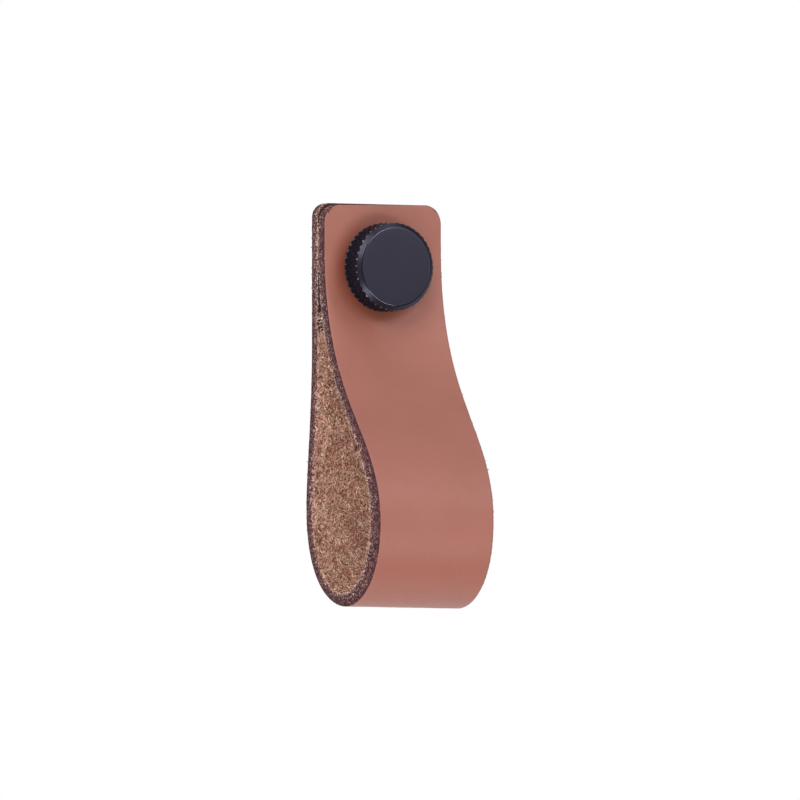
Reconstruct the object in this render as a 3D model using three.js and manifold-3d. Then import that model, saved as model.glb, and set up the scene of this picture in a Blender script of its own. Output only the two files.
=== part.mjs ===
// Leather cabinet pull. A strap is folded into a hanging loop, and a knurled knob in front and a
// machine screw from behind clamp its two ends together on a door or drawer front.
// Millimetres, +Z up, and the front faces -Y. The origin is where the screw's axis meets the back
// of the strap, in the plane of the door's surface. Depths are counted forward from that plane,
// drops downward from the screw's axis and rises upward.

import * as THREE from "three";
import { mergeVertices } from "three/addons/utils/BufferGeometryUtils.js";
import Module from "manifold-3d";

// Strap
const STRAP_WIDTH = 26;
const LEATHER = 2.5; // thickness of the hide
const EDGE_EASE = 0.25; // bevel that takes the sharpness off every cut edge
const BACK_END_RADIUS = 2.8; // rounded corners of the back leaf's end
const FRONT_END_RADIUS = 3.6; // and of the front leaf's end
const FRONT_END_RISE = 12; // from the screw's axis up to the end of the front leaf
const BACK_END_STEP = 0.4; // the back leaf stands this much higher than the front one
const FLESH_GAP = 0.1; // between the two flesh sides where the leaves lie together

// Hanging loop, as the leather settles
const FLAT_DROP = 14.2; // the back leaf lies flat on the door down to here
const REAR_BOW = 2.2; // how far the free loop bows back past the door's plane
const REAR_BOW_HEIGHT = 19.3; // the height of that point above the underside of the loop
const LOOP_DROP = 66.1; // from the screw's axis down to the underside of the loop
const LOW_POINT_DEPTH = 12.9; // where the underside is lowest
const BELLY_DEPTH = 26.4; // the foremost point of the loop
const BELLY_HEIGHT = 16.15; // the height of that point above the underside
const CLAMP_RISE = 4.15; // the front leaf starts to lift off the back leaf here
const PRESSED_MARGIN = 0.5; // the knob presses the front leaf flat this far past its rim
const PRESSED_REACH = 21; // below that, the hollow that the knob presses in runs out
const BELLY_SQUEEZE = 1; // round the belly the grain side draws in by this much, the flesh side spreads

// Knob
const KNOB_DIAMETER = 17.4; // over the knurl
const KNOB_DEPTH = 5.3;
const CHAMFER_DEPTH = 0.7; // front chamfer, along the axis
const CHAMFER_INSET = 1.2; // front chamfer, across the face
const FACE_BEVEL = 0.15; // fine bright edge round the face
const BACK_BEVEL = 0.15; // round the rim that presses on the leather
const KNURL_PITCH = 1.3; // round the circumference
const KNURL_DEPTH = 0.45;
const KNURL_ANGLE = 30; // degrees between a groove and the axis
const KNURL_START = -0.93; // a row of groove crossings, set so that the chamfer meets a row of points
const FACE_WALL = 1.25; // metal left between the tapped hole and the face
const SEAT_GAP = 0.1; // between the knob and the grain side that it presses on

// Screw
const SCREW_DIAMETER = 4;
const PANEL = 12; // thickness of the door or drawer front that the screw clamps
const TIP_ROOM = 1; // between the screw's tip and the bottom of the tapped hole
const TIP_CHAMFER = 0.5;
const HEAD_DIAMETER = 8;
const HEAD_HEIGHT = 3.1;
const HEAD_RIM = 1; // straight side of the pan head, below its dome
const RECESS_DIAMETER = 4.6; // cross recess, over its wings
const RECESS_DEPTH = 2;
const RECESS_WING = 1; // width of one wing
const RECESS_CORE = 1.6; // diameter left at the bottom of the recess
const STRAP_HOLE_ROOM = 0.5; // on the diameter
const KNOB_HOLE_ROOM = 0.2; // on the diameter
const HOLE_CHAMFER = 0.4; // at the mouth of the tapped hole

// Facets
const STATION_STEP = 2.2; // between sections along the strap
const BROAD_FACETS = 12; // across each broad side of the strap
const HOLE_FACETS = 32;
const KNOB_FACETS = 96;
const SCREW_FACETS = 40;
const CUT_MARGIN = 1; // how far a cutter reaches past what it cuts

// Sizes that follow
const frontPlane = 2 * LEATHER + FLESH_GAP;
const backEndRise = FRONT_END_RISE + BACK_END_STEP;
const knobRadius = KNOB_DIAMETER / 2;
const knobBack = frontPlane + SEAT_GAP;
const tappedDepth = KNOB_DEPTH - FACE_WALL;
const tapRadius = (SCREW_DIAMETER + KNOB_HOLE_ROOM) / 2;
const screwTip = knobBack + tappedDepth - TIP_ROOM;
const screwLength = PANEL + screwTip;

const wasm = await Module();
wasm.setup();

// A closed three.js geometry as a solid for joins and cuts.
function solidOf(geometry) {
  const bare = geometry.clone();
  bare.deleteAttribute("normal");
  bare.deleteAttribute("uv");
  const merged = mergeVertices(bare, 1e-4);
  const corners = [];
  const index = merged.index.array;
  for (let i = 0; i < index.length; i += 3) {
    const [a, b, c] = index.slice(i, i + 3);
    if (a !== b && b !== c && c !== a) corners.push(a, b, c);
  }
  return new wasm.Manifold(
    new wasm.Mesh({
      numProp: 3,
      vertProperties: merged.attributes.position.array,
      triVerts: new Uint32Array(corners),
    }),
  );
}

function geometryOf(solid) {
  const mesh = solid.getMesh();
  const geometry = new THREE.BufferGeometry();
  geometry.setAttribute("position", new THREE.BufferAttribute(mesh.vertProperties, 3));
  geometry.setIndex(new THREE.BufferAttribute(mesh.triVerts, 1));
  return geometry.toNonIndexed();
}

function pieceOf(name, geometry, color, roughness, metalness) {
  geometry.computeVertexNormals();
  const material = new THREE.MeshStandardMaterial({ color, roughness, metalness });
  const mesh = new THREE.Mesh(geometry, material);
  mesh.name = name;
  return mesh;
}

// One stretch of the loop between two points of (depth, height). It leaves along one axis and
// arrives along another, and the shares say how far its handles reach towards the other point.
function stretch(from, to, leave, arrive) {
  const handle = (at, other, { axis, share }) => {
    const point = at.clone();
    point[axis] += share * (other[axis] - at[axis]);
    return point;
  };
  return new THREE.CubicBezierCurve(from, handle(from, to, leave), handle(to, from, arrive), to);
}

// The middle of the leather's thickness, from the end of the back leaf down, round the belly and
// up to the end of the front leaf, as a plane curve whose x is the depth and whose y is the height.
function middleLine() {
  const half = LEATHER / 2;
  const backEnd = new THREE.Vector2(half, backEndRise);
  const flatEnd = new THREE.Vector2(half, -FLAT_DROP);
  const rear = new THREE.Vector2(half - REAR_BOW, REAR_BOW_HEIGHT - LOOP_DROP);
  const low = new THREE.Vector2(LOW_POINT_DEPTH, half - LOOP_DROP);
  const belly = new THREE.Vector2(BELLY_DEPTH - half, BELLY_HEIGHT - LOOP_DROP);
  const clamp = new THREE.Vector2(frontPlane - half, CLAMP_RISE);
  const frontEnd = new THREE.Vector2(frontPlane - half, FRONT_END_RISE);
  const upright = (share) => ({ axis: "y", share });
  const level = (share) => ({ axis: "x", share });

  const line = new THREE.CurvePath();
  line.add(new THREE.LineCurve(backEnd, flatEnd));
  line.add(stretch(flatEnd, rear, upright(0.47), upright(0.24)));
  line.add(stretch(rear, low, upright(0.71), level(0.44)));
  line.add(stretch(low, belly, level(0.46), upright(0.69)));
  line.add(stretch(belly, clamp, upright(0.33), upright(0.59)));
  line.add(new THREE.LineCurve(clamp, frontEnd));
  return line;
}

// Distances along the strap at which a section stands: close together round the corners of the
// ends, and evenly spaced between them.
function stationsAlong(length) {
  const cornerTurns = [40, 60, 75, 90].map(THREE.MathUtils.degToRad);
  const corner = (radius) => [0, EDGE_EASE, ...cornerTurns.map((turn) => radius * (1 - Math.cos(turn)))];
  const between = length - BACK_END_RADIUS - FRONT_END_RADIUS;
  const count = Math.round(between / STATION_STEP);
  const even = [];
  for (let i = 1; i < count; i++) even.push(BACK_END_RADIUS + (between * i) / count);
  const front = corner(FRONT_END_RADIUS).map((s) => length - s);
  return [...corner(BACK_END_RADIUS), ...even, ...front.reverse()];
}

// How much narrower than the strap each side is, at a distance from an end with rounded corners.
function cornerInset(fromEnd, radius) {
  if (fromEnd >= radius) return 0;
  return radius - Math.sqrt(radius ** 2 - (radius - fromEnd) ** 2);
}

// The share of BELLY_SQUEEZE at a place along the strap, widest just past the lowest point.
function squeezeAt(share) {
  const middle = 0.575;
  const reach = 0.21;
  const away = Math.abs(share - middle) / reach;
  return away < 1 ? Math.cos((away * Math.PI) / 2) ** 2 : 0;
}

// How far the knob holds the front leaf back at a place on it, where the free leather would
// stand clear of the clamped plane. It is held flat in a disc round the screw's axis, and the hold
// fades out from there to the long edges and down the leaf.
function heldBack(across, height, freeDepth) {
  const disc = knobRadius + PRESSED_MARGIN;
  const halfChord = Math.sqrt(Math.max(0, disc ** 2 - height ** 2));
  const beside = 1 - THREE.MathUtils.smoothstep(Math.abs(across), halfChord, STRAP_WIDTH / 2);
  const below = 1 - THREE.MathUtils.clamp((-height - disc) / PRESSED_REACH, 0, 1);
  return Math.max(0, freeDepth - frontPlane) * beside * below ** 2.5;
}

// The outline of one section as [across, outward] pairs, grain side first, seen along the strap.
function sectionAt(fromEnd, radius, squeeze) {
  const halfThick = LEATHER / 2 - Math.max(0, EDGE_EASE - fromEnd);
  const halfWide = STRAP_WIDTH / 2 - cornerInset(fromEnd, radius);
  const shoulder = LEATHER / 2 - EDGE_EASE;
  const sideAt = (outward) => halfWide - (squeeze * BELLY_SQUEEZE * outward) / LEATHER;
  const outline = [];
  for (const outward of [halfThick, -halfThick]) {
    const facing = Math.sign(outward);
    const flat = sideAt(outward) - EDGE_EASE;
    const turn = facing * shoulder;
    outline.push([-facing * sideAt(turn), turn]);
    for (let i = 0; i <= BROAD_FACETS; i++) {
      outline.push([facing * flat * ((2 * i) / BROAD_FACETS - 1), outward]);
    }
    outline.push([facing * sideAt(turn), turn]);
  }
  return outline;
}

// The strap as a loft of sections that stand square to its middle line.
function loftedStrap() {
  const line = middleLine();
  const length = line.getLength();
  const stations = stationsAlong(length);
  const positions = [];
  const index = [];
  for (const s of stations) {
    const share = s / length;
    const fromEnd = Math.min(s, length - s);
    const radius = s < length / 2 ? BACK_END_RADIUS : FRONT_END_RADIUS;
    const middle = line.getPoint(share);
    const along = line.getTangent(share);
    const grain = new THREE.Vector2(along.y, -along.x);
    const freeDepth = middle.x + (grain.x * LEATHER) / 2;
    for (const [across, outward] of sectionAt(fromEnd, radius, squeezeAt(share))) {
      const at = middle.clone().addScaledVector(grain, outward);
      const held = grain.x > 0 ? heldBack(across, middle.y, freeDepth) : 0;
      positions.push(across, held - at.x, at.y);
    }
  }
  const around = positions.length / 3 / stations.length;
  for (let ring = 0; ring + 1 < stations.length; ring++) {
    for (let i = 0; i < around; i++) {
      const a = ring * around + i;
      const b = ring * around + ((i + 1) % around);
      index.push(a, b, b + around, a, b + around, a + around);
    }
  }
  const lastRing = positions.length / 3 - around;
  for (let i = 1; i + 1 < around; i++) {
    index.push(0, i + 1, i);
    index.push(lastRing, lastRing + i, lastRing + i + 1);
  }
  const geometry = new THREE.BufferGeometry();
  geometry.setAttribute("position", new THREE.Float32BufferAttribute(positions, 3));
  geometry.setIndex(index);
  return geometry;
}

function leatherStrap() {
  const punchLength = frontPlane + 2 * CUT_MARGIN;
  const punchRadius = (SCREW_DIAMETER + STRAP_HOLE_ROOM) / 2;
  const punch = new THREE.CylinderGeometry(punchRadius, punchRadius, punchLength, HOLE_FACETS);
  punch.translate(0, -frontPlane / 2, 0);
  const punched = solidOf(loftedStrap()).subtract(solidOf(punch));
  return pieceOf("leather_strap", geometryOf(punched), 0xac766c, 0.6, 0);
}

// A bar about the Y axis with a diamond knurl. Grooves of both hands cross on a lattice of half
// pitches, where groove crossings take turns with the points of the diamonds, and each quad of
// the lattice is folded along the groove that runs through it.
function knurledBar(from, to) {
  const teeth = Math.round((Math.PI * KNOB_DIAMETER) / KNURL_PITCH);
  const around = 2 * teeth;
  const halfPitch = (Math.PI * KNOB_DIAMETER) / around;
  const rowHeight = halfPitch / Math.tan(THREE.MathUtils.degToRad(KNURL_ANGLE));
  const rows = Math.ceil((to - from) / rowHeight);
  const positions = [];
  const index = [];
  for (let row = 0; row <= rows; row++) {
    for (let i = 0; i < around; i++) {
      const onGroove = (row + i) % 2 === 0;
      const radius = onGroove ? knobRadius - KNURL_DEPTH : knobRadius;
      const angle = (2 * Math.PI * i) / around;
      positions.push(radius * Math.cos(angle), from + row * rowHeight, radius * Math.sin(angle));
    }
  }
  for (let row = 0; row < rows; row++) {
    for (let i = 0; i < around; i++) {
      const a = row * around + i;
      const b = row * around + ((i + 1) % around);
      const [c, d] = [b + around, a + around];
      if ((row + i) % 2 === 0) index.push(a, c, b, a, d, c);
      else index.push(a, d, b, b, d, c);
    }
  }
  const bottom = positions.length / 3;
  const top = bottom + 1;
  const lastRow = rows * around;
  positions.push(0, from, 0, 0, from + rows * rowHeight, 0);
  for (let i = 0; i < around; i++) {
    const next = (i + 1) % around;
    index.push(bottom, i, next);
    index.push(top, lastRow + next, lastRow + i);
  }
  const geometry = new THREE.BufferGeometry();
  geometry.setAttribute("position", new THREE.Float32BufferAttribute(positions, 3));
  geometry.setIndex(index);
  return geometry;
}

// The turned blank of the knob about the Y axis, back face at 0: the tapped hole, the back rim,
// a side that stands proud of the knurl, the front chamfer and the face.
function knobBlank() {
  const side = knobRadius + CUT_MARGIN;
  const chamferSlope = CHAMFER_DEPTH / CHAMFER_INSET;
  const faceEdge = knobRadius - CHAMFER_INSET;
  const profile = [
    [0, tappedDepth],
    [tapRadius, tappedDepth],
    [tapRadius, HOLE_CHAMFER],
    [tapRadius + HOLE_CHAMFER, 0],
    [knobRadius - BACK_BEVEL, 0],
    [side, BACK_BEVEL + CUT_MARGIN],
    [side, KNOB_DEPTH - CHAMFER_DEPTH - CUT_MARGIN * chamferSlope],
    [faceEdge, KNOB_DEPTH - FACE_BEVEL],
    [faceEdge - FACE_BEVEL, KNOB_DEPTH],
    [0, KNOB_DEPTH],
  ];
  const points = profile.map(([radius, height]) => new THREE.Vector2(radius, height));
  return new THREE.LatheGeometry(points, KNOB_FACETS);
}

function knurledKnob() {
  const bar = solidOf(knurledBar(KNURL_START, KNOB_DEPTH + CUT_MARGIN / 2));
  const turned = bar.intersect(solidOf(knobBlank()));
  const knob = pieceOf("knurled_knob", geometryOf(turned), 0x2b2a31, 0.38, 0.6);
  knob.rotation.x = Math.PI;
  knob.position.y = -knobBack;
  return knob;
}

// The cross recess as a plus-shaped bar kept inside a cone, point down, its rim at height 0.
function crossRecess() {
  const arm = RECESS_DIAMETER / 2 + CUT_MARGIN;
  const half = RECESS_WING / 2;
  const height = RECESS_DEPTH + CUT_MARGIN;
  const wing = new THREE.BoxGeometry(2 * arm, height, 2 * half);
  wing.translate(0, height / 2 - RECESS_DEPTH, 0);
  const otherWing = wing.clone().rotateY(Math.PI / 2);
  const slope = (RECESS_DIAMETER - RECESS_CORE) / 2 / RECESS_DEPTH;
  const rim = RECESS_DIAMETER / 2 + slope * CUT_MARGIN;
  const cone = new THREE.CylinderGeometry(rim, RECESS_CORE / 2, height, HOLE_FACETS);
  cone.translate(0, height / 2 - RECESS_DEPTH, 0);
  return solidOf(wing).add(solidOf(otherWing)).intersect(solidOf(cone));
}

// The screw about the Y axis, the underside of its head at 0 and its tip below.
function screwBlank() {
  const shank = SCREW_DIAMETER / 2;
  const points = [
    new THREE.Vector2(0, -screwLength),
    new THREE.Vector2(shank - TIP_CHAMFER, -screwLength),
    new THREE.Vector2(shank, TIP_CHAMFER - screwLength),
    new THREE.Vector2(shank, 0),
    new THREE.Vector2(HEAD_DIAMETER / 2, 0),
  ];
  const dome = new THREE.EllipseCurve(
    0, HEAD_RIM, HEAD_DIAMETER / 2, HEAD_HEIGHT - HEAD_RIM, 0, Math.PI / 2,
  );
  points.push(...dome.getPoints(7));
  return new THREE.LatheGeometry(points, SCREW_FACETS);
}

function mountingScrew() {
  const recess = crossRecess().translate(0, HEAD_HEIGHT, 0);
  const screw = solidOf(screwBlank()).subtract(recess);
  const piece = pieceOf("mounting_screw", geometryOf(screw), 0xb9bcc0, 0.35, 1);
  piece.position.y = PANEL;
  return piece;
}

const pull = new THREE.Group();
pull.name = "leather_pull";
pull.add(leatherStrap(), knurledKnob(), mountingScrew());

export default pull;
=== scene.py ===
import bisect
import math

import bmesh
import bpy
import numpy as np
from mathutils import Matrix, Vector, geometry, noise


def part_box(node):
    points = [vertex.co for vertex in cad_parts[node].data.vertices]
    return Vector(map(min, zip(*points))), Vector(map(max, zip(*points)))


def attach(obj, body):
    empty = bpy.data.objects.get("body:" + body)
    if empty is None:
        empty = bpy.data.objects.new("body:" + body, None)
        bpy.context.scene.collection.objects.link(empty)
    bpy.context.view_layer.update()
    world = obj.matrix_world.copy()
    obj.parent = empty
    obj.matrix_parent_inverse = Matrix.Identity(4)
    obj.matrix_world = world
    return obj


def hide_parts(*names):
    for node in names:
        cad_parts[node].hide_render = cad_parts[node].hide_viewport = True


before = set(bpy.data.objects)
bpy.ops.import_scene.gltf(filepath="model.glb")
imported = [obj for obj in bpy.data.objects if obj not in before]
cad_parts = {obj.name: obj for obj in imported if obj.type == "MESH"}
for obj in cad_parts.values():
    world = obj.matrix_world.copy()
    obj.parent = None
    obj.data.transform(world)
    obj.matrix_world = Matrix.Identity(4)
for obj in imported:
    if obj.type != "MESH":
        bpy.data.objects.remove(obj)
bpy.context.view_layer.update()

# A leather cabinet pull: a strap folded into a hanging loop, a knurled knob that clamps its two
# ends, and the machine screw behind it. Metres, +Z up, the front faces -Y, and the origin is
# where the screw's axis meets the back of the strap. Depths are counted forward from there.

MM = 0.001
strap_low, strap_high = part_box("leather_strap")
knob_low, knob_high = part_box("knurled_knob")
screw_low, screw_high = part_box("mounting_screw")

# The photograph's view
VIEW_TURN = math.radians(29.5)  # the camera stands this far to the left of straight in front
VIEW_RISE = math.radians(2.07)  # and looks up by this much
VIEW_DISTANCE = 5.35
PHOTO_PIXELS = 800
PIXELS_PER_METRE = 5158
SCREW_PIXEL = (370.0, 268.5)  # where the screw's axis meets the back of the strap
SENSOR = 36
FLOOR_HALF = 6
FLOOR_DROP = 0.45
FLOOR_FRONT = 0.2  # it ends here in front, so that the knob mirrors no floor
FILL_FRONT = 0.33  # how the white surround lights the object from in front
FILL_BEHIND = 0.86  # and from behind
FILL_BELOW = 0.5  # what it adds from below
ROOM_LEVEL = 0.12  # of the room in front, which the black metal mirrors

# The strap
STRAP_WIDTH = 26 * MM
LEATHER = 2.5 * MM
BACK_END_RADIUS = 2.8 * MM
FRONT_END_RADIUS = 3.6 * MM
FRONT_END_RISE = 12 * MM
FRONT_END_SKEW = 0.0125  # the front end is not cut quite square
SKEW_REACH = 6 * MM
FLAT_DROP = 14.2 * MM
REAR_BOW_HEIGHT = 19.3 * MM
LOW_POINT_DEPTH = 12.9 * MM
BELLY_HEIGHT = 16.15 * MM
CLAMP_RISE = 4.15 * MM
BELLY_SQUEEZE = 1 * MM
PRESSED_MARGIN = 0.5 * MM  # the knob presses the front leaf flat this far past its rim
PRESSED_REACH = 15 * MM  # below that, the hollow that it presses in runs out
PRESSED_TURN = 3 * MM  # and starts to run out this softly
KNOB_SHADE_REACH = 3.6 * MM  # the grain is painted with the knob's shade this far round its rim
FLESH_GAP = 0.1 * MM
STRAP_HOLE = 4.5 * MM
EDGE_EASE = 0.22 * MM
EDGE_PIECES = 7  # the cut edge has this many rows of faces
DYED_END = 0.8 * MM  # the dye of the cut edge has run this far onto the flesh side at the ends
DYED_CORNER = 3.5 * MM
DYED_SLIT = 1.3 * MM  # and this far in beside the slit between the leaves
SLIT_MARGIN = 4 * MM  # past the knob
PALE_RIM = 0.6 * MM  # the grain side is paler this close to its edges
BELLY = (0.575, 0.21)  # the middle and the half span of the squeezed part, as shares of the length
STRETCHED = (0.53, 0.09)  # and of the part that the fold stretches
CELL = 0.36 * MM  # the strap's mesh, across and along
FRONT_PLANE = 2 * LEATHER + FLESH_GAP
HALF_WIDTH = STRAP_WIDTH / 2
GRAIN, FLESH, CUT = 0, 1, 2  # the strap's finishes

# The loose fibres
NAP_PIECES = ("flesh_nap_a", "flesh_nap_b", "flesh_nap_c")
NAP_COUNT = 12700  # in each piece
NAP_LENGTH = 0.72 * MM
NAP_WIDTH = 0.18 * MM
NAP_LIFT = 0.3  # how steeply the fibres rise, in radians
NAP_TUFT = 1.6 * MM  # fibres this near to each other lie alike
NAP_PATCH = 2.2 * MM  # and have much the same tint
EDGE_COUNT = 9000
EDGE_SPREAD = 0.42  # through the leather, from the flesh side
FIBRE_BEND = 0.22

# The knob
KNOB_RADIUS = knob_high.x
KNOB_BACK = -knob_high.y
KNOB_DEPTH = knob_high.y - knob_low.y
CHAMFER_DEPTH = 0.88 * MM
CHAMFER_INSET = 1.2 * MM
FACE_ROUND = 0.55 * MM  # the radius between the face and its chamfer
FACE_DOME = 0.08 * MM  # how far the face falls off towards its rim
BACK_BEVEL = 0.15 * MM
KNURL_PITCH = 1.3 * MM
KNURL_DEPTH = 0.45 * MM
KNURL_ANGLE = math.radians(30)
KNURL_START = -1.13 * MM  # a row of groove crossings
KNURL_CREST = 0.9  # the pyramids are cut flat at this share of their height
FRONT_DRAFT = 0.08 * MM  # the knurl's crests and grooves draw together towards the chamfer
FRONT_GROOVE = 0.25 * MM
DRAFT_LENGTH = 1.2 * MM
FACE_WALL = 1.25 * MM
TAP_RADIUS = 2.1 * MM
TAP_BEVEL = 0.4 * MM
FLAT_BACK_INSET = 1 * MM
TIP_BAND = 0.13 * MM  # the finish has worn off the tips this near to the chamfer
SIDE_END = KNOB_DEPTH - CHAMFER_DEPTH
FACE_EDGE = KNOB_RADIUS - CHAMFER_INSET
CHAMFER_TILT = math.atan2(CHAMFER_DEPTH, CHAMFER_INSET)
CHAMFER_SLOPE = CHAMFER_INSET / CHAMFER_DEPTH
FACE_RIM = FACE_EDGE + FACE_DOME * CHAMFER_SLOPE - FACE_ROUND * math.tan(CHAMFER_TILT / 2)
TEETH = round(2 * math.pi * KNOB_RADIUS / KNURL_PITCH)

# The screw
THREAD_RADIUS = 2 * MM
THREAD_PITCH = 0.7 * MM
THREAD_DEPTH = 0.38 * MM
THREAD_RUN_OUT = 0.6 * MM
TIP_BEVEL = 0.5 * MM
HEAD_SEAT = 12 * MM
HEAD_RADIUS = screw_high.x
HEAD_RIM = 1 * MM
SEAT_BEVEL = 0.1 * MM
RECESS_DIAMETER = 4.6 * MM
RECESS_DEPTH = 2 * MM
RECESS_WING = 1 * MM
RECESS_CORE = 1.6 * MM

chance = np.random.default_rng(11)


# Camera, floor and lamps

def sight_frame():
    forward = Vector((
        math.sin(VIEW_TURN) * math.cos(VIEW_RISE),
        math.cos(VIEW_TURN) * math.cos(VIEW_RISE),
        math.sin(VIEW_RISE),
    ))
    right = forward.cross(Vector((0, 0, 1))).normalized()
    return forward, right, right.cross(forward)


def set_camera():
    forward, right, up = sight_frame()
    middle = PHOTO_PIXELS / 2
    aim = right * (middle - SCREW_PIXEL[0]) / PIXELS_PER_METRE
    aim += up * (SCREW_PIXEL[1] - middle) / PIXELS_PER_METRE
    data = bpy.data.cameras.new("photo_camera")
    data.sensor_width = SENSOR
    data.lens = SENSOR * VIEW_DISTANCE * PIXELS_PER_METRE / PHOTO_PIXELS
    data.clip_start = 0.1
    data.clip_end = 50
    camera = bpy.data.objects.new("photo_camera", data)
    bpy.context.scene.collection.objects.link(camera)
    camera.location = aim - forward * VIEW_DISTANCE
    camera.rotation_mode = "QUATERNION"
    camera.rotation_quaternion = (-forward).to_track_quat("Z", "Y")
    bpy.context.scene.camera = camera


def add_lamp(name, direction, distance, size, power):
    """A soft rectangular lamp that stands off in a direction and faces the object."""
    data = bpy.data.lights.new(name, "AREA")
    data.shape = "RECTANGLE"
    data.size, data.size_y = size
    data.energy = power
    lamp = bpy.data.objects.new(name, data)
    bpy.context.scene.collection.objects.link(lamp)
    centre = (strap_low + strap_high) / 2
    toward = Vector(direction).normalized()
    lamp.location = centre + toward * distance
    lamp.rotation_mode = "QUATERNION"
    lamp.rotation_quaternion = toward.to_track_quat("Z", "Y")


def light_studio():
    add_lamp("front_card", (0.46, -0.70, 0.60), 1.3, (0.9, 2.0), 5.0)
    add_lamp("key_softbox", (-0.50, -0.62, 0.60), 1.2, (0.75, 0.75), 4.1)
    add_lamp("top_card", (0.24, -0.87, 0.40), 1.1, (0.45, 0.12), 1.3)
    add_lamp("low_card", (0.21, -0.90, -0.37), 1.1, (0.62, 0.12), 2.4)
    add_lamp("left_softbox", (-0.95, -0.20, 0.05), 1.2, (0.9, 0.9), 5.0)
    add_lamp("upper_left_card", (-0.553, -0.681, 0.480), 2.0, (0.45, 0.45), 1.2)
    add_lamp("lower_left_card", (-0.401, -0.658, -0.637), 2.0, (0.45, 0.45), 4.8)


def white_surround():
    """The world: white where it is seen or mirrored from behind the object, a dim room where it is
    mirrored from in front, and otherwise a soft fill."""
    world = bpy.data.worlds.new("white_surround")
    bpy.context.scene.world = world
    world.use_nodes = True
    nodes, links = world.node_tree.nodes, world.node_tree.links
    nodes.clear()

    def joined(operation, first, second):
        node = nodes.new("ShaderNodeMath")
        node.operation = operation
        links.new(first, node.inputs[0])
        links.new(second, node.inputs[1])
        return node.outputs[0]

    def background(strength):
        node = nodes.new("ShaderNodeBackground")
        node.inputs["Color"].default_value = (1, 1, 1, 1)
        links.new(strength, node.inputs["Strength"])
        return node.outputs[0]

    path = nodes.new("ShaderNodeLightPath").outputs
    direction = nodes.new("ShaderNodeSeparateXYZ")
    links.new(nodes.new("ShaderNodeTexCoord").outputs["Generated"], direction.inputs[0])

    def level(axis, start, end, at_start, at_end):
        """A strength that runs from one to another as the direction turns along an axis."""
        node = nodes.new("ShaderNodeMapRange")
        for name, value in (
            ("From Min", start), ("From Max", end), ("To Min", at_start), ("To Max", at_end),
        ):
            node.inputs[name].default_value = value
        links.new(direction.outputs[axis], node.inputs["Value"])
        return node.outputs[0]

    behind = level("Y", 0.25, 0.6, ROOM_LEVEL, 1)
    fill = joined(
        "ADD", level("Y", -0.5, 0.5, FILL_FRONT, FILL_BEHIND), level("Z", -0.9, 0, FILL_BELOW, 0),
    )
    mirrored = joined("MAXIMUM", path["Is Glossy Ray"], path["Is Transmission Ray"])
    mix = nodes.new("ShaderNodeMixShader")
    links.new(joined("MAXIMUM", path["Is Camera Ray"], mirrored), mix.inputs[0])
    links.new(background(fill), mix.inputs[1])
    links.new(background(joined("MAXIMUM", path["Is Camera Ray"], behind)), mix.inputs[2])
    links.new(mix.outputs[0], nodes.new("ShaderNodeOutputWorld").inputs[0])


def lay_floor():
    bm = bmesh.new()
    bmesh.ops.create_grid(bm, x_segments=1, y_segments=1, size=FLOOR_HALF)
    bmesh.ops.translate(bm, verts=bm.verts, vec=(0, FLOOR_HALF - FLOOR_FRONT, -FLOOR_DROP))
    floor = object_of("pale_floor", bm)
    floor.data.materials.append(pale_card())


# Shared helpers

def object_of(name, bm):
    mesh = bpy.data.meshes.new(name)
    bm.to_mesh(mesh)
    bm.free()
    obj = bpy.data.objects.new(name, mesh)
    bpy.context.scene.collection.objects.link(obj)
    return obj


def smooth_step(value, low, high):
    t = min(1, max(0, (value - low) / (high - low)))
    return t * t * (3 - 2 * t)


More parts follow.
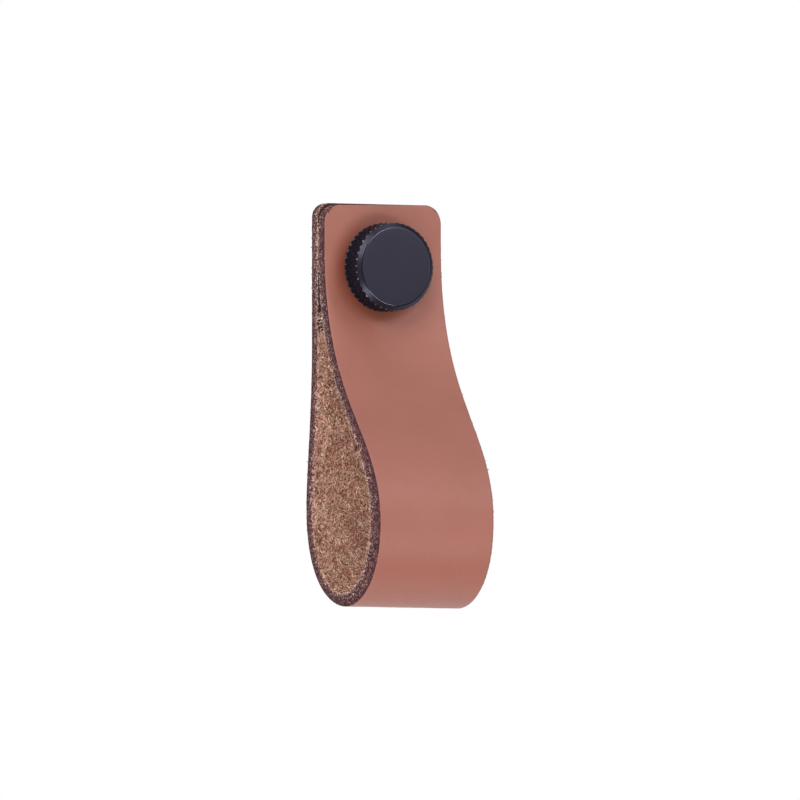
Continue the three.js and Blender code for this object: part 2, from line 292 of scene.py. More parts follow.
class Finish:
    """A material's node tree, with short calls that add a node and link a value."""

    def __init__(self, name):
        self.material = bpy.data.materials.new(name)
        self.material.use_nodes = True
        self.nodes = self.material.node_tree.nodes
        self.links = self.material.node_tree.links
        self.shader = self.nodes["Principled BSDF"]
        self.coords = self.nodes.new("ShaderNodeTexCoord").outputs["Object"]

    def set(self, **values):
        for name, value in values.items():
            self.shader.inputs[name.replace("_", " ")].default_value = value

    def drive(self, name, output):
        self.links.new(output, self.shader.inputs[name])

    def attribute(self, name):
        node = self.nodes.new("ShaderNodeAttribute")
        node.attribute_name = name
        return node.outputs["Fac"]

    def noise(self, scale, detail=4, roughness=0.5, distortion=0):
        node = self.nodes.new("ShaderNodeTexNoise")
        node.inputs["Scale"].default_value = scale
        node.inputs["Detail"].default_value = detail
        node.inputs["Roughness"].default_value = roughness
        node.inputs["Distortion"].default_value = distortion
        self.links.new(self.coords, node.inputs["Vector"])
        return node.outputs["Fac"]

    def pores(self, scale):
        node = self.nodes.new("ShaderNodeTexVoronoi")
        node.inputs["Scale"].default_value = scale
        self.links.new(self.coords, node.inputs["Vector"])
        return node.outputs["Distance"]

    def ramp(self, value, low, high, to_low=0, to_high=1):
        node = self.nodes.new("ShaderNodeMapRange")
        node.inputs["From Min"].default_value = low
        node.inputs["From Max"].default_value = high
        node.inputs["To Min"].default_value = to_low
        node.inputs["To Max"].default_value = to_high
        self.links.new(value, node.inputs["Value"])
        return node.outputs[0]

    def math(self, operation, first, second):
        node = self.nodes.new("ShaderNodeMath")
        node.operation = operation
        for socket, value in zip(node.inputs, (first, second)):
            if isinstance(value, (int, float)):
                socket.default_value = value
            else:
                self.links.new(value, socket)
        return node.outputs[0]

    def blend(self, share, first, second):
        """A colour between two, which are each a colour or another node's output."""
        node = self.nodes.new("ShaderNodeMix")
        node.data_type = "RGBA"
        self.links.new(share, node.inputs["Factor"])
        colour_a, colour_b = [s for s in node.inputs if s.type == "RGBA"]
        for socket, value in ((colour_a, first), (colour_b, second)):
            if isinstance(value, tuple):
                socket.default_value = (*value, 1)
            else:
                self.links.new(value, socket)
        return next(s for s in node.outputs if s.type == "RGBA")

    def bump(self, height, strength, distance):
        node = self.nodes.new("ShaderNodeBump")
        node.inputs["Strength"].default_value = strength
        node.inputs["Distance"].default_value = distance
        self.links.new(height, node.inputs["Height"])
        previous = self.shader.inputs["Normal"].links
        if previous:
            self.links.new(previous[0].from_socket, node.inputs["Normal"])
        self.drive("Normal", node.outputs[0])


# Materials

def pale_card():
    card = Finish("pale_card")
    card.set(Base_Color=(0.85, 0.85, 0.85, 1), Roughness=0.9)
    return card.material


def grain_leather():
    """The smooth dyed outside of the hide, with a soft cloudiness, very fine pores and painted
    shade round the knob.
    """
    hide = Finish("grain_leather")
    clouds = hide.ramp(hide.noise(90, 3), 0.35, 0.65)
    body = hide.blend(clouds, (0.335, 0.098, 0.064), (0.355, 0.107, 0.072))
    body = hide.blend(hide.attribute("stretched"), body, (0.375, 0.109, 0.071))
    flecks = hide.ramp(hide.noise(2600, 2), 0.62, 0.8)
    body = hide.blend(flecks, body, (0.30, 0.086, 0.058))
    rim = hide.ramp(hide.attribute("to_edge"), 0.75, 1)
    body = hide.blend(rim, body, (0.40, 0.155, 0.125))
    # Painted shade round the knob: the grain is darkened and mirrors less where the knob shadows
    # it and hides what it would reflect.
    knob_shade = hide.attribute("knob_shade")
    hide.drive("Base Color", hide.blend(knob_shade, body, (0.20, 0.045, 0.020)))
    hide.drive("Specular IOR Level", hide.ramp(knob_shade, 0, 1, 0.95, 0.15))
    hide.drive("Roughness", hide.ramp(hide.noise(700, 3), 0.3, 0.7, 0.42, 0.52))
    hide.set(IOR=1.45, Sheen_Weight=0.18, Sheen_Roughness=0.5)
    hide.bump(hide.pores(3200), 0.12, 0.03 * MM)
    hide.bump(hide.noise(1500, 4), 0.1, 0.04 * MM)
    return hide.material


def flesh_suede():
    """The raw inside of the hide, mottled tan and brown under its nap."""
    suede = Finish("flesh_suede")
    patches = suede.ramp(suede.noise(260, 4, 0.6), 0.36, 0.62)
    body = suede.blend(patches, (0.63, 0.30, 0.21), (0.89, 0.52, 0.40))
    grit = suede.ramp(suede.noise(2900, 3, 0.6, 0.4), 0.46, 0.60)
    body = suede.blend(grit, body, (0.26, 0.10, 0.065))
    pits = suede.ramp(suede.noise(1500, 5, 0.65, 0.6), 0.56, 0.66)
    body = suede.blend(pits, body, (0.17, 0.055, 0.035))
    dyed = suede.attribute("end_rim")
    body = suede.blend(dyed, body, (0.075, 0.034, 0.038))
    suede.drive("Base Color", body)
    suede.set(Roughness=0.95, Specular_IOR_Level=0.2)
    suede.bump(suede.noise(1300, 6, 0.7, 0.5), 0.9, 0.22 * MM)
    return suede.material


def cut_edge():
    """The cut through the hide: dyed dark next to the grain, speckled with pale fibre ends."""
    edge = Finish("cut_edge")
    through = edge.attribute("through")
    ragged = edge.ramp(edge.noise(1100, 5, 0.65), 0.35, 0.65, -0.42, 0.42)
    wander = edge.math("ADD", through, ragged)
    mottle = edge.ramp(edge.noise(1900, 3, 0.6), 0.42, 0.62)
    dyed = edge.blend(mottle, (0.034, 0.009, 0.012), (0.170, 0.062, 0.064))
    specks = edge.ramp(edge.noise(3300, 1, 0.5, 0.3), 0.64, 0.70)
    dyed = edge.blend(specks, dyed, (0.55, 0.36, 0.33))
    grainward = edge.ramp(wander, 0.0, 0.2)
    dyed = edge.blend(grainward, (0.060, 0.024, 0.028), dyed)
    ends = edge.ramp(edge.noise(2500, 2, 0.5, 0.3), 0.52, 0.60)
    pale = edge.blend(ends, (0.075, 0.028, 0.024), (0.68, 0.42, 0.34))
    fleshward = edge.ramp(edge.math("ADD", wander, edge.attribute("worn")), 0.76, 0.92)
    edge.drive("Base Color", edge.blend(fleshward, dyed, pale))
    edge.set(Roughness=0.85, Specular_IOR_Level=0.25)
    edge.bump(edge.noise(2600, 5, 0.65), 0.9, 0.16 * MM)
    return edge.material


def nap_fibre(name, dark, light):
    """Loose fibres, each with its own tint between two."""
    fibre = Finish(name)
    fibre.drive("Base Color", fibre.blend(fibre.attribute("tint"), dark, light))
    fibre.set(Roughness=0.9, Specular_IOR_Level=0.2)
    return fibre.material


def bare_tips(black, body):
    """Lets the metal show where the finish has worn off the knurl's sharpest points."""
    worn = black.ramp(black.noise(1600, 2), 0.40, 0.62)
    bare = black.ramp(black.math("MULTIPLY", black.attribute("tip"), worn), 0.1, 1, 0, 0.6)
    black.drive("Metallic", bare)
    black.drive("Base Color", black.blend(bare, body, (0.60, 0.58, 0.62)))


def satin_black():
    """Black metal finish with a faint blue cast, finely blasted."""
    black = Finish("satin_black")
    wear = black.ramp(black.noise(900, 3), 0.4, 0.7)
    bare_tips(black, black.blend(wear, (0.004, 0.0035, 0.009), (0.006, 0.005, 0.011)))
    grained = black.ramp(black.noise(2500, 3), 0.3, 0.7, 0.29, 0.36)
    rounded = black.ramp(black.attribute("rounded"), 0, 1, 0, 0.16)
    black.drive("Roughness", black.math("SUBTRACT", grained, rounded))
    turned_level = black.ramp(black.attribute("turned"), 0, 1, 0.60, 0.7)
    black.drive("Specular IOR Level", black.math("ADD", turned_level, rounded))
    black.set(IOR=1.55, Specular_Tint=(0.77, 0.74, 1, 1))
    black.bump(black.noise(6000, 2), 0.08, 0.02 * MM)
    return black.material


def knurl_black():
    """The same black in the knurl, where it is duller and holds some dirt."""
    black = Finish("knurl_black")
    dirt = black.ramp(black.noise(1800, 3), 0.4, 0.65)
    bare_tips(black, black.blend(dirt, (0.005, 0.005, 0.012), (0.012, 0.010, 0.018)))
    black.drive("Roughness", black.ramp(black.noise(2500, 3), 0.3, 0.7, 0.28, 0.5))
    black.set(IOR=1.5, Specular_IOR_Level=0.2, Specular_Tint=(0.55, 0.68, 1, 1))
    black.bump(black.noise(5000, 3), 0.3, 0.04 * MM)
    return black.material


def zinc_plate():
    """Bright zinc plating, slightly cloudy."""
    zinc = Finish("zinc_plate")
    clouds = zinc.ramp(zinc.noise(600, 4), 0.3, 0.7)
    zinc.drive("Base Color", zinc.blend(clouds, (0.50, 0.51, 0.52), (0.62, 0.63, 0.64)))
    zinc.drive("Roughness", zinc.ramp(zinc.noise(1400, 3), 0.3, 0.7, 0.24, 0.38))
    zinc.set(Metallic=1)
    zinc.bump(zinc.noise(3000, 3), 0.06, 0.02 * MM)
    return zinc.material


# The line that the folded leather follows

def stretch_of_loop(start, end, leave, arrive, steps=160):
    """Points from start to end, which leave and arrive along the named axes. The shares say how
    far each handle reaches towards the other end."""
    handles = []
    for at, other, (axis, share) in ((start, end, leave), (end, start, arrive)):
        handle = at.copy()
        handle[axis] += share * (other[axis] - at[axis])
        handles.append(handle)
    return geometry.interpolate_bezier(start, handles[0], handles[1], end, steps)[1:]


def middle_line():
    """The middle of the leather's thickness from the back leaf's end to the front leaf's, as
    points of (depth, height) and their distances along the strap."""
    half = LEATHER / 2
    level, upright = 0, 1
    back_end = Vector((half, strap_high.z))
    flat_end = Vector((half, -FLAT_DROP))
    rear = Vector((half - strap_high.y, strap_low.z + REAR_BOW_HEIGHT))
    low = Vector((LOW_POINT_DEPTH, strap_low.z + half))
    belly = Vector((-strap_low.y - half, strap_low.z + BELLY_HEIGHT))
    clamp = Vector((FRONT_PLANE - half, CLAMP_RISE))
    front_end = Vector((FRONT_PLANE - half, FRONT_END_RISE))
    points = [back_end, flat_end]
    points += stretch_of_loop(flat_end, rear, (upright, 0.47), (upright, 0.24))
    points += stretch_of_loop(rear, low, (upright, 0.71), (level, 0.44))
    points += stretch_of_loop(low, belly, (level, 0.46), (upright, 0.69))
    points += stretch_of_loop(belly, clamp, (upright, 0.33), (upright, 0.59))
    points.append(front_end)
    reached = [0]
    for a, b in zip(points, points[1:]):
        reached.append(reached[-1] + (b - a).length)
    return points, reached


LINE, REACHED = middle_line()
STRAP_LENGTH = REACHED[-1]


def on_line(s):
    """The middle line's point and its direction at a distance along the strap."""
    i = min(len(LINE) - 2, max(0, bisect.bisect_right(REACHED, s) - 1))
    step = LINE[i + 1] - LINE[i]
    share = (s - REACHED[i]) / (REACHED[i + 1] - REACHED[i])
    before = LINE[i] - LINE[i - 1] if i else step
    after = LINE[i + 2] - LINE[i + 1] if i + 2 < len(LINE) else step
    turn_in = (before.normalized() + step.normalized()).normalized()
    turn_out = (step.normalized() + after.normalized()).normalized()
    return LINE[i] + step * share, turn_in.lerp(turn_out, share).normalized()


def away_from(part, s):
    """How far a place is from the middle of a part of the strap, where 1 is the part's end."""
    middle, half_span = part
    return abs(s / STRAP_LENGTH - middle) / half_span


def squeeze_at(s):
    away = away_from(BELLY, s)
    return math.cos(away * math.pi / 2) ** 2 if away < 1 else 0


def held_back(across, height, free_depth):
    """How far the knob holds the front leaf back where the free leather would stand clear. It is
    flat in a disc round the screw's axis, and the hold fades out to the edges and downward."""
    disc = KNOB_RADIUS + PRESSED_MARGIN
    half_chord = disc * math.exp(-(height / (1.14 * disc)) ** 4)
    beside = 1 - smooth_step(abs(across), half_chord, HALF_WIDTH)
    drop = math.hypot(max(0, -height - disc), PRESSED_TURN) - PRESSED_TURN
    below = max(0, 1 - drop / PRESSED_REACH)
    return max(0, free_depth - FRONT_PLANE) * beside * below ** 2.5


def folded(across, s, outward):
    """Where a point of the flat strap lies once the strap is folded: across its width, along its
    length and outward from the middle of its thickness towards the grain side."""
    middle, along = on_line(s)
    grain = Vector((along.y, -along.x))
    drawn_in = squeeze_at(s) * BELLY_SQUEEZE * outward / LEATHER
    x = across * (1 - drawn_in / HALF_WIDTH)
    at = middle + grain * outward
    if grain.x > 0:
        at.x -= held_back(x, middle.y, middle.x + grain.x * LEATHER / 2)
    return Vector((x, -at.x, at.y))


# The strap

def round_corners(bm):
    """Draws the square corners of the flat strap in to quarter circles."""
    for v in bm.verts:
        side = math.copysign(1, v.co.x)
        at_back = v.co.y < STRAP_LENGTH / 2
        end, inward = (0, 1) if at_back else (STRAP_LENGTH, -1)
        radius = BACK_END_RADIUS if at_back else FRONT_END_RADIUS
        u = (abs(v.co.x) - (HALF_WIDTH - radius)) / radius
        w = (radius - abs(v.co.y - end)) / radius
        if u > 0 and w > 0:
            v.co.x = side * (HALF_WIDTH - radius + radius * u * math.sqrt(1 - w * w / 2))
            v.co.y = end + inward * (radius - radius * w * math.sqrt(1 - u * u / 2))


def punch_hole(bm, s):
    centre = Vector((0, s, 0))
    radius = STRAP_HOLE / 2
    inside = [v for v in bm.verts if (v.co - centre).length < radius]
    bmesh.ops.delete(bm, geom=inside, context="VERTS")
    for v in bm.verts:
        if v.is_boundary and (v.co - centre).length < radius + 2 * CELL:
            v.co = centre + (v.co - centre).normalized() * radius


def flat_strap():
    """The strap as it is cut: rounded ends, two punched holes, eased edges, grain side up."""
    bm = bmesh.new()
    bmesh.ops.create_grid(
        bm,
        x_segments=round(STRAP_WIDTH / CELL),
        y_segments=round(STRAP_LENGTH / CELL),
        size=0.5,
    )
    bmesh.ops.translate(bm, verts=bm.verts, vec=(0, 0.5, 0))
    bmesh.ops.scale(bm, verts=bm.verts, vec=(STRAP_WIDTH, STRAP_LENGTH, 1))
    punch_hole(bm, strap_high.z)
    punch_hole(bm, STRAP_LENGTH - FRONT_END_RISE)
    round_corners(bm)
    bmesh.ops.recalc_face_normals(bm, faces=bm.faces)
    bmesh.ops.solidify(bm, geom=bm.faces[:], thickness=LEATHER)
    low = min(v.co.z for v in bm.verts)
    bmesh.ops.translate(bm, verts=bm.verts, vec=(0, 0, -low - LEATHER / 2))
    bmesh.ops.recalc_face_normals(bm, faces=bm.faces)
    rims = [e for e in bm.edges if e.calc_face_angle(0) > 1]
    rims = [e for e in rims if abs(e.verts[0].co.z - e.verts[1].co.z) < LEATHER / 2]
    bmesh.ops.bevel(
        bm, geom=rims, offset=EDGE_EASE, segments=2, affect="EDGES", profile=0.5, material=-1,
    )
    upright = [e for e in bm.edges if abs(e.verts[0].co.z - e.verts[1].co.z) > LEATHER / 2]
    bmesh.ops.subdivide_edges(bm, edges=upright, cuts=EDGE_PIECES - 1, use_grid_fill=True)
    return bm


def roughness_at(co, size, amount):
    """A signed, uneven height of about the given amount, with lumps of about the given size."""
    return amount * noise.fractal(co / size, 0.6, 2.1, 4, noise_basis="PERLIN_ORIGINAL")


def is_clamped(s):
    return min(s, STRAP_LENGTH - s) < strap_high.z + KNOB_RADIUS


def worn_at(s):
    """The cut edge is more worn and pale along the upper part of the back leaf."""
    return 0.32 * (1 - smooth_step(s, 12 * MM, 34 * MM))


def flesh_relief(across, s):
    """How far the raw flesh side sinks in or stands out at a place on the flat strap."""
    amount = 0.03 * MM if is_clamped(s) else 0.16 * MM
    return roughness_at(Vector((across, s, 0)), 0.9 * MM, amount)


def mark_finishes(bm):
    """Gives the flat strap's faces their finishes, and its points the shares that these read."""
    for face in bm.faces:
        tilt = face.normal.z
        face.material_index = GRAIN if tilt > 0.6 else FLESH if tilt < -0.5 else CUT
        face.smooth = True
    names = ("to_edge", "through", "end_rim", "worn", "stretched")
    to_edge, through, end_rim, worn, stretched = [bm.verts.layers.float.new(n) for n in names]
    for v in bm.verts:
        across, s, outward = v.co
        beside = HALF_WIDTH - abs(across)
        from_end = min(s, STRAP_LENGTH - s)
        in_slit = is_clamped(from_end - SLIT_MARGIN) and beside < DYED_SLIT
        at_corner = max(from_end, beside) < DYED_CORNER
        v[to_edge] = max(0, 1 - beside / PALE_RIM) if outward > 0 else 0
        v[through] = 0.5 - outward / LEATHER
        v[end_rim] = 1 if in_slit or at_corner or from_end < DYED_END else 0
        v[worn] = worn_at(s)
        v[stretched] = max(0, 1 - away_from(STRETCHED, s) ** 2)


def fold_strap(bm):
    """Roughens and folds the flat strap, and marks the painted shade of the knob on the grain
    round it.
    """
    knob_shade = bm.verts.layers.float.new("knob_shade")
    top = LEATHER / 2 - EDGE_EASE / 2
    for v in bm.verts:
        across, s, outward = v.co
        if outward > top:
            outward += roughness_at(v.co, 6 * MM, 0.03 * MM)
        elif outward < -top:
            outward += flesh_relief(across, s)
        else:
            across += math.copysign(roughness_at(v.co, 0.5 * MM, 0.09 * MM), across)
        near_end = smooth_step(s, STRAP_LENGTH - SKEW_REACH, STRAP_LENGTH)
        s += FRONT_END_SKEW * (across + HALF_WIDTH) * near_end
        v.co = folded(across, s, outward)
        if s > STRAP_LENGTH / 2:
            # Painted shade of the knob, heaviest below it and to its left, where its shadow falls,
            # and fading out a short way from its rim.
            reach = math.hypot(v.co.x, v.co.z) - KNOB_RADIUS
            lopsided = (0.15 * v.co.x + 0.3 * v.co.z) / max(KNOB_RADIUS, reach + KNOB_RADIUS)
            v[knob_shade] = (0.54 - lopsided) * (1 - smooth_step(reach, 0, KNOB_SHADE_REACH))


def leather_strap():
    """The strap, marked while it is flat and then folded, which leaves its faces outward."""
    bm = flat_strap()
    bm.normal_update()
    mark_finishes(bm)
    fold_strap(bm)
    bm.normal_update()
    strap = object_of("strap", bm)
    for finish in (grain_leather(), flesh_suede(), cut_edge()):
        strap.data.materials.append(finish)
    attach(strap, "root")
    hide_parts("leather_strap")


# Loose fibres on the flesh side and the cut edges

def one_fibre():
    """A fine three-sided fibre of unit length and width along +Z, which keeps its width for half
    its length and then tapers to a point."""
    bm = bmesh.new()
    bmesh.ops.create_cone(
        bm, cap_ends=True, cap_tris=True, segments=3, radius1=0.5, radius2=0, depth=1,
    )
    bmesh.ops.remove_doubles(bm, verts=bm.verts, dist=1e-5)
    bmesh.ops.translate(bm, verts=bm.verts, vec=(0, 0, 0.5))
    everything = bm.verts[:] + bm.edges[:] + bm.faces[:]
    bmesh.ops.bisect_plane(bm, geom=everything, plane_co=(0, 0, 0.45), plane_no=(0, 0, 1))
    middle = [v for v in bm.verts if 0.1 < v.co.z < 0.9]
    bmesh.ops.scale(bm, verts=middle, vec=(1.7, 1.7, 1))
    bmesh.ops.triangulate(bm, faces=bm.faces)
    bmesh.ops.recalc_face_normals(bm, faces=bm.faces)
    bm.verts.ensure_lookup_table()
    corners = np.array([v.co[:] for v in bm.verts])
    faces = np.array([[v.index for v in f.verts] for f in bm.faces])
    bm.free()
    return corners, faces


def scatter_fibres(name, roots, directions, lengths, widths, tints, finish):
    """One mesh of many fibres, each from its root along its direction and bent to one side."""
    corners, faces = one_fibre()
    count = len(roots)
    along = directions / np.linalg.norm(directions, axis=1)[:, None]
    aside = np.cross(along, chance.normal(size=(count, 3)))
    aside /= np.linalg.norm(aside, axis=1)[:, None]
    third = np.cross(along, aside)
    z = corners[:, 2]
    x = corners[:, 0][None] * widths[:, None] + FIBRE_BEND * lengths[:, None] * (z * z)[None]
    y = corners[:, 1][None] * widths[:, None]
    verts = (
        roots[:, None]
        + x[..., None] * aside[:, None]
        + y[..., None] * third[:, None]
        + (z[None] * lengths[:, None])[..., None] * along[:, None]
    )
    offsets = np.arange(count)[:, None, None] * len(corners)
    triangles = (faces[None] + offsets).reshape(-1, 3)
    mesh = bpy.data.meshes.new(name)
    mesh.from_pydata(verts.reshape(-1, 3).tolist(), [], triangles.tolist())
    tint = mesh.attributes.new("tint", "FLOAT", "POINT")
    tint.data.foreach_set("value", np.repeat(tints, len(corners)).astype(np.float32))
    mesh.materials.append(finish)
    fibres = bpy.data.objects.new(name, mesh)
    bpy.context.scene.collection.objects.link(fibres)
    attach(fibres, "root")


def surface_frame(across, s, outward):
    """A point of the folded strap, the direction across, the one along and the one outward."""
    step = 0.05 * MM
    at = folded(across, s, outward)
    along = (folded(across, s + step, outward) - at).normalized()
    sideways = (folded(across + step, s, outward) - at).normalized()
    return at, sideways, along, sideways.cross(along).normalized()


def flesh_nap(name, finish):
    """Short fibres that lie over the flesh side in tufts."""
    start = strap_high.z + KNOB_RADIUS
    roots, directions, tints = [], [], []
    for _ in range(NAP_COUNT):
        across = chance.uniform(-1, 1) * (HALF_WIDTH - EDGE_EASE)
        s = chance.uniform(start, STRAP_LENGTH - start)
        height = flesh_relief(across, s) - LEATHER / 2
        at, sideways, along, outward = surface_frame(across, s, height)
        tuft = noise.noise(Vector((across, s, 0)) / NAP_TUFT)
        turn = 2.2 * tuft + 2.36 + chance.normal() * 0.6
        rise = abs(chance.normal()) * NAP_LIFT
        lying = sideways * math.cos(turn) + along * math.sin(turn)
        roots.append(at + outward * 0.02 * MM)
        directions.append(lying * math.cos(rise) - outward * math.sin(rise))
        shade = noise.noise(Vector((across + 1, s, 0.5)) / NAP_PATCH)
        tints.append(min(1, max(0, 0.58 + 0.5 * shade + 0.55 * chance.normal())))
    lengths = NAP_LENGTH * chance.uniform(0.5, 1.3, NAP_COUNT)
    widths = NAP_WIDTH * chance.uniform(0.7, 1.4, NAP_COUNT)
    scatter_fibres(
        name, np.array(roots), np.array(directions), lengths, widths, np.array(tints), finish,
    )


def edge_fibres(name, finish):
    """Fibre ends that stand out of the two long cut edges, most of them near the flesh side."""
    roots, directions, tints = [], [], []
    for _ in range(EDGE_COUNT):
        side = 1 if chance.random() < 0.5 else -1
        s = chance.uniform(BACK_END_RADIUS, STRAP_LENGTH - FRONT_END_RADIUS)
        through = 1 - abs(chance.normal()) * EDGE_SPREAD
        if through < 0:
            continue
        outward = LEATHER * (0.5 - through)
        at, sideways, along, normal = surface_frame(side * HALF_WIDTH, s, outward)
        direction = (
            sideways * side * chance.uniform(0.02, 0.25)
            + along * chance.normal()
            - normal * chance.uniform(-0.5, 0.9)
        )
        roots.append(at - sideways * side * 0.05 * MM)
        directions.append(direction)
        tints.append(min(1, max(0, through - 0.42 + worn_at(s) + 0.4 * chance.normal())))
    lengths = chance.uniform(0.15, 0.45, len(roots)) * MM
    widths = chance.uniform(0.12, 0.2, len(roots)) * MM
    scatter_fibres(
        name, np.array(roots), np.array(directions), lengths, widths, np.array(tints), finish,
    )


# Turned pieces

def turned(outline, steps):
    """A closed outline of (radius, y) points spun about the Y axis."""
    bm = bmesh.new()
    verts = [bm.verts.new((radius, y, 0)) for radius, y in outline]
    edges = [bm.edges.new(pair) for pair in zip(verts, verts[1:])]
    bmesh.ops.spin(
        bm,
        geom=verts + edges,
        cent=(0, 0, 0),
        axis=(0, 1, 0),
        angle=2 * math.pi,
        steps=steps,
        use_merge=True,
    )
    bmesh.ops.remove_doubles(bm, verts=bm.verts, dist=1e-7)
    bmesh.ops.recalc_face_normals(bm, faces=bm.faces)
    return bm


def rows_between(low, high, step):
    count = max(1, round((high - low) / step))
    return [low + (high - low) * i / count for i in range(count + 1)]


def saw(value):
    """0 at whole numbers and 1 halfway between them."""
    return 1 - abs(2 * (value - math.floor(value)) - 1)


def knurl_height(angle, depth):
    """How high the diamond knurl stands at a place, from 0 in a groove to 1 on a flat crest."""
    turn = angle / (2 * math.pi) * TEETH
    climb = (depth - KNURL_START) * math.tan(KNURL_ANGLE) * TEETH / (2 * math.pi * KNOB_RADIUS)
    return min(1, min(saw(turn + climb), saw(turn - climb)) / KNURL_CREST)


def knurl_radius(height, depth):
    """How far the knurl reaches from the axis at that height, at a depth from the knob's back."""
    front = smooth_step(depth, SIDE_END - DRAFT_LENGTH, SIDE_END)
    groove = KNURL_DEPTH + (FRONT_GROOVE - KNURL_DEPTH) * front
    return KNOB_RADIUS - FRONT_DRAFT * front - groove * (1 - height)


def knob_blank():
    """The knob before it is knurled, turned about Y with its back at 0."""
    root_depth = SIDE_END + (KNURL_DEPTH + 0.05 * MM) / CHAMFER_SLOPE
    hole_end = KNOB_DEPTH - FACE_WALL
    outline = [(0, hole_end), (TAP_RADIUS, hole_end), (TAP_RADIUS, TAP_BEVEL)]
    outline += [(TAP_RADIUS + TAP_BEVEL, 0), (KNOB_RADIUS - FLAT_BACK_INSET, 0)]
    outline += [(KNOB_RADIUS - BACK_BEVEL, 0)]
    outline += [(KNOB_RADIUS, y) for y in rows_between(BACK_BEVEL, SIDE_END, 0.075 * MM)]
    outline += [
        (KNOB_RADIUS - (y - SIDE_END) * CHAMFER_SLOPE, y)
        for y in rows_between(SIDE_END, root_depth, 0.03 * MM)[1:]
    ]
    for share in (1, 0.75, 0.5, 0.25, 0.1):
        outline.append((
            FACE_RIM + FACE_ROUND * math.sin(CHAMFER_TILT * share),
            KNOB_DEPTH - FACE_DOME - FACE_ROUND * (1 - math.cos(CHAMFER_TILT * share)),
        ))
    outline += [
        (FACE_RIM * share, KNOB_DEPTH - FACE_DOME * share ** 4)
        for share in (0.99, 0.95, 0.88, 0.8, 0.7, 0.55, 0.35, 0)
    ]
    return turned(outline, TEETH * 12)


def roll_knurl(bm):
    """Presses the knurl into the blank, and marks its tips and the turned rounding of the face."""
    names = ("tip", "turned", "rounded")
    tip, edge_turned, rounded = [bm.verts.layers.float.new(n) for n in names]
    round_end = FACE_RIM + FACE_ROUND * math.sin(CHAMFER_TILT)
    chamfer_start = SIDE_END + FRONT_DRAFT / CHAMFER_SLOPE
    for v in bm.verts:
        radius = math.hypot(v.co.x, v.co.z)
        v[edge_turned] = smooth_step(radius, FACE_RIM - 0.15 * MM, FACE_RIM)
        v[rounded] = 1 if FACE_RIM - 0.01 * MM < radius < round_end - 0.02 * MM else 0
        if radius > KNOB_RADIUS - KNURL_DEPTH - 0.1 * MM and v.co.y > 0:
            height = knurl_height(math.atan2(v.co.z, v.co.x), v.co.y)
            pressed = min(radius, knurl_radius(height, v.co.y))
            v.co.x *= pressed / radius
            v.co.z *= pressed / radius
            at_border = abs(v.co.y - chamfer_start) < TIP_BAND
            v[tip] = smooth_step(height, 0.8, 1) * (1 if at_border else 0.15)


def knurled_knob():
    """The knob, with one finish on what is turned and another in the knurl."""
    bm = knob_blank()
    roll_knurl(bm)
    bm.normal_update()
    for face in bm.faces:
        middle = face.calc_center_median()
        on_rim = math.hypot(middle.x, middle.z) > FACE_EDGE and BACK_BEVEL < middle.y
        face.material_index = 1 if on_rim and face.normal.y < 0.75 else 0
        face.smooth = True
    for edge in bm.edges:
        borders = len({face.material_index for face in edge.link_faces}) > 1
        at_back = all(abs(v.co.y) < 1e-7 for v in edge.verts)
        edge.smooth = not (borders or at_back and edge.calc_face_angle(0) > 0.3)
    bmesh.ops.rotate(bm, verts=bm.verts, matrix=Matrix.Rotation(math.pi, 3, "X"))
    bmesh.ops.translate(bm, verts=bm.verts, vec=(0, -KNOB_BACK, 0))
    knob = object_of("knob", bm)
    knob.data.materials.append(satin_black())
    knob.data.materials.append(knurl_black())
    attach(knob, "root")
    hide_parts("knurled_knob")


def cross_cutter(head_top):
    """The plus-shaped driver recess as a closed cutter that narrows towards its bottom."""
    bm = bmesh.new()
    rim = RECESS_DIAMETER / 2
    core = RECESS_CORE / 2
    margin = 0.5 * MM
    for turn in (0, math.pi / 2):
        made = bmesh.ops.create_cube(bm, size=1)["verts"]
        bmesh.ops.scale(bm, verts=made, vec=(2 * rim, RECESS_DEPTH + margin, RECESS_WING))
        bmesh.ops.translate(bm, verts=made, vec=(0, head_top - (RECESS_DEPTH - margin) / 2, 0))
        for v in made:
            if v.co.y < head_top - margin:
                v.co.x *= core / rim
                v.co.z *= 0.8
        bmesh.ops.rotate(bm, verts=made, cent=(0, 0, 0), matrix=Matrix.Rotation(turn, 3, "Y"))
    return object_of("recess_cutter", bm)


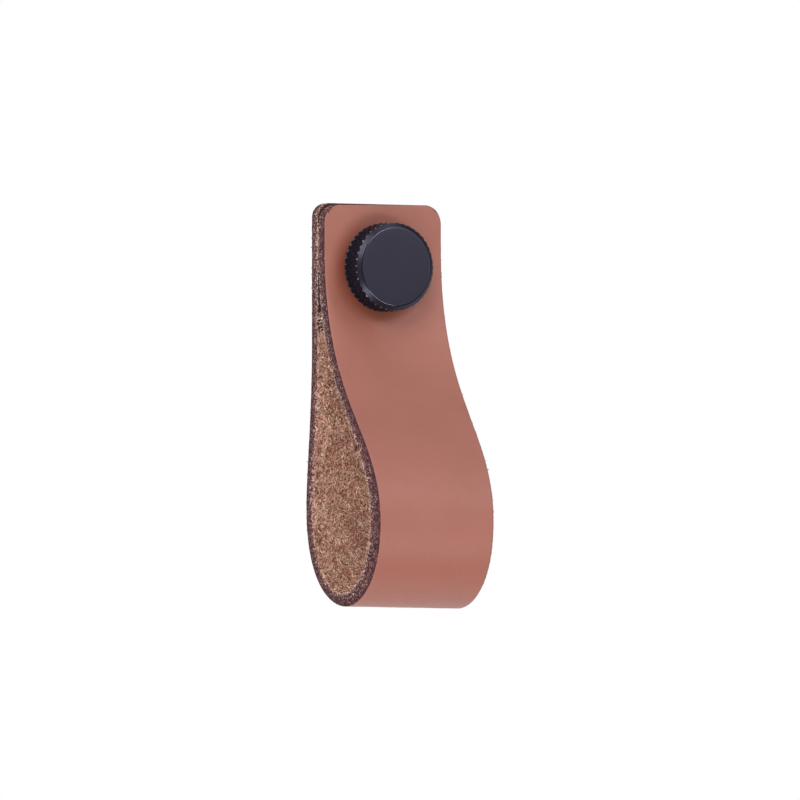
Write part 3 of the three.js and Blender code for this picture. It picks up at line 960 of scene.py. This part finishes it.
def screw_blank():
    """The screw before it is threaded, turned about Y, with a domed head."""
    tip, top = screw_low.y, screw_high.y
    outline = [(0, tip), (THREAD_RADIUS - TIP_BEVEL, tip)]
    outline += [(THREAD_RADIUS, y) for y in rows_between(tip + TIP_BEVEL, HEAD_SEAT, 0.07 * MM)]
    outline += [(HEAD_RADIUS - SEAT_BEVEL, HEAD_SEAT), (HEAD_RADIUS, HEAD_SEAT + SEAT_BEVEL)]
    dome = top - HEAD_SEAT - HEAD_RIM
    for i in range(13):
        angle = math.pi / 2 * i / 12
        outline.append((
            HEAD_RADIUS * math.cos(angle) if i < 12 else 0,
            HEAD_SEAT + HEAD_RIM + dome * math.sin(angle),
        ))
    return turned(outline, 64)


def roll_thread(bm):
    """Presses a helical thread into the shank, which runs out under the head."""
    for v in bm.verts:
        radius = math.hypot(v.co.x, v.co.z)
        if abs(radius - THREAD_RADIUS) < 1e-6:
            angle = math.atan2(v.co.z, v.co.x) / (2 * math.pi)
            groove = saw(v.co.y / THREAD_PITCH + angle)
            groove = min(1, max(0, (groove - 0.12) / 0.7))
            fade = smooth_step(HEAD_SEAT - v.co.y, 0.2 * MM, THREAD_RUN_OUT)
            pressed = THREAD_RADIUS - THREAD_DEPTH * groove * fade
            v.co.x *= pressed / radius
            v.co.z *= pressed / radius


def mounting_screw():
    """The machine screw, with the driver's cross recess cut into its head."""
    bm = screw_blank()
    roll_thread(bm)
    for face in bm.faces:
        face.smooth = True
    screw = object_of("screw", bm)
    cutter = cross_cutter(screw_high.y)
    cut = screw.modifiers.new("recess", "BOOLEAN")
    cut.operation = "DIFFERENCE"
    cut.solver = "EXACT"
    cut.use_self = True
    cut.object = cutter
    depsgraph = bpy.context.evaluated_depsgraph_get()
    finished = bpy.data.meshes.new_from_object(screw.evaluated_get(depsgraph))
    screw.modifiers.clear()
    screw.data = finished
    bpy.data.objects.remove(cutter)
    screw.data.materials.clear()
    screw.data.materials.append(zinc_plate())
    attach(screw, "root")
    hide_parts("mounting_screw")


set_camera()
lay_floor()
light_studio()
white_surround()
bpy.context.scene.view_settings.view_transform = "Standard"

leather_strap()
knurled_knob()
mounting_screw()
pale_fibre = nap_fibre("pale_fibre", (0.26, 0.108, 0.070), (1.0, 0.76, 0.60))
for name in NAP_PIECES:
    flesh_nap(name, pale_fibre)
edge_fibres("edge_fibres", nap_fibre("edge_fibre", (0.09, 0.04, 0.045), (0.90, 0.64, 0.58)))
